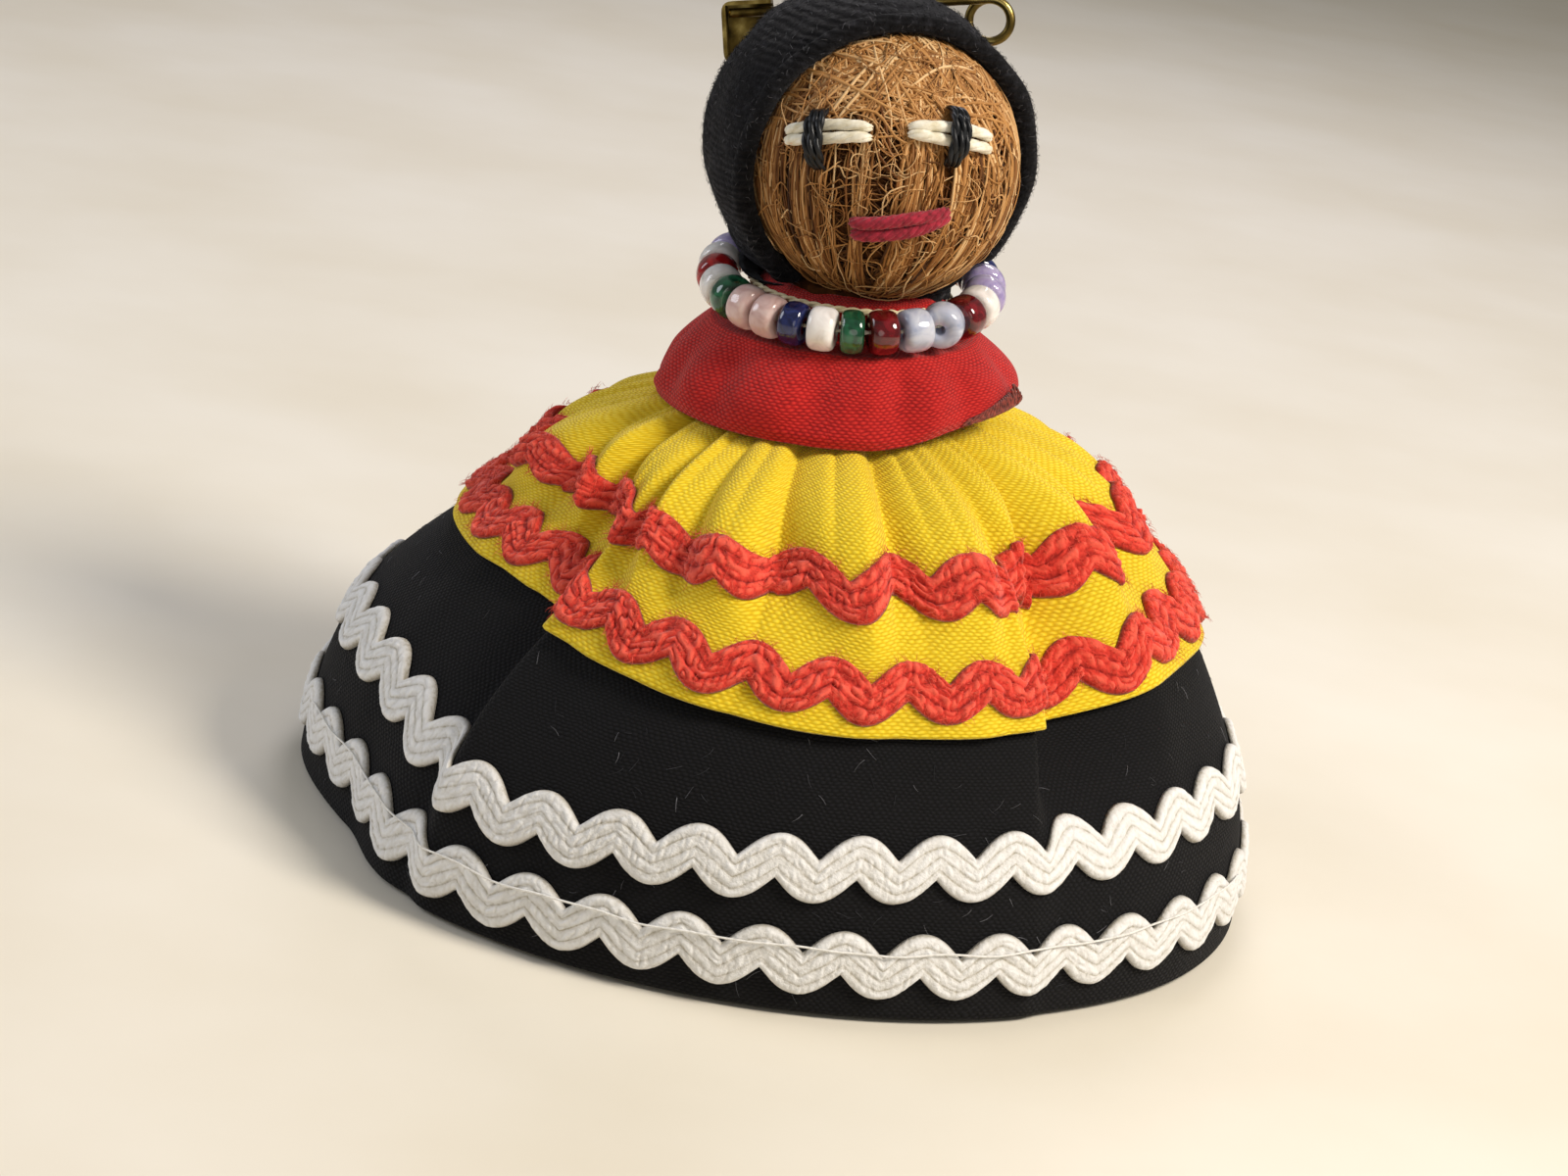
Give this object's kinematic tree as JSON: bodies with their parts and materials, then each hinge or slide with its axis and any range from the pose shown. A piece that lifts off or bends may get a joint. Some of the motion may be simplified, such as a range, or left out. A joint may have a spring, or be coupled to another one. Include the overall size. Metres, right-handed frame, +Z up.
{
  "type": "palmetto fiber doll",
  "caption": "Small standing doll with a fibre head in a black hood, stitched face, glass bead necklace, red collar, yellow cape and black skirt with rickrack, and a safety pin in the hood.",
  "frame": {"origin": "centre of the card base's underside", "axes": "+Z up through the head, -Y out of the front of the skirt, +X to the doll's left"},
  "size_m": [0.0963, 0.0878, 0.0829],
  "materials": {
    "card": "matt card",
    "palmetto_fiber": "combed dry fibre",
    "black_hood_cloth": "napped cloth with lint",
    "white_thread": "waxed thread",
    "black_thread": "waxed thread",
    "red_thread": "twisted thread",
    "cream_thread": "twisted thread",
    "red_cotton": "plain weave",
    "yellow_cotton": "plain weave",
    "black_cotton": "plain weave",
    "coral_rickrack": "braid",
    "white_rickrack": "braid",
    "antique_brass": "darkened",
    "glass_red": "polished glass",
    "glass_ruby": "polished glass",
    "glass_white": "pearly glass",
    "glass_rose": "pearly glass",
    "glass_opal": "pearly glass",
    "glass_lavender": "pearly glass",
    "glass_green": "polished glass",
    "glass_blue": "polished glass"
  },
  "bodies": {
    "doll": {"base_disc": "card", "body": "palmetto_fiber", "head": "palmetto_fiber", "hood": "black_hood_cloth", "eye_white_left_upper": "white_thread", "eye_white_left_lower": "white_thread", "eye_white_right_upper": "white_thread", "eye_white_right_lower": "white_thread", "pupil_left": "black_thread", "pupil_right": "black_thread", "mouth_upper": "red_thread", "mouth_lower": "red_thread", "neck_binding": "cream_thread", "collar": "red_cotton", "cape": "yellow_cotton", "cape_rickrack_upper": "coral_rickrack", "cape_rickrack_lower": "coral_rickrack", "skirt": "black_cotton", "skirt_rickrack_upper": "white_rickrack", "skirt_rickrack_lower": "white_rickrack"},
    "necklace": {"necklace_thread": "white_thread", "bead_01": "glass_red", "bead_02": "glass_white", "bead_03": "glass_green", "bead_04": "glass_rose", "bead_05": "glass_rose", "bead_06": "glass_blue", "bead_07": "glass_white", "bead_08": "glass_green", "bead_09": "glass_ruby", "bead_10": "glass_opal", "bead_11": "glass_opal", "bead_12": "glass_ruby", "bead_13": "glass_white", "bead_14": "glass_lavender", "bead_15": "glass_lavender", "bead_16": "glass_blue", "bead_17": "glass_white", "bead_18": "glass_red", "bead_19": "glass_green", "bead_20": "glass_white", "bead_21": "glass_rose", "bead_22": "glass_opal", "bead_23": "glass_blue", "bead_24": "glass_red", "bead_25": "glass_white", "bead_26": "glass_green", "bead_27": "glass_lavender", "bead_28": "glass_white"},
    "pin_arm": {"pin_arm": "antique_brass"},
    "pin_back": {"pin_back_wire": "antique_brass", "pin_cap": "antique_brass"}
  },
  "joints": [
    {"name": "necklace_turn", "type": "hinge", "parent": "doll", "child": "necklace", "pos_m": [0, 0, 0.05544], "axis": [-0.0785, -0.1387, 0.9872], "continuous": true},
    {"name": "pin_swivel", "type": "hinge", "parent": "doll", "child": "pin_arm", "pos_m": [-0.00247, 0.01466, 0.07479], "axis": [-0.9763, 0, -0.2164], "range_deg": [0, 139]},
    {"name": "pin_open", "type": "hinge", "parent": "pin_arm", "child": "pin_back", "pos_m": [0.00899, 0.01427, 0.07947], "axis": [0.0322, 0.9889, -0.1453], "range_deg": [0, 35]}
  ]
}
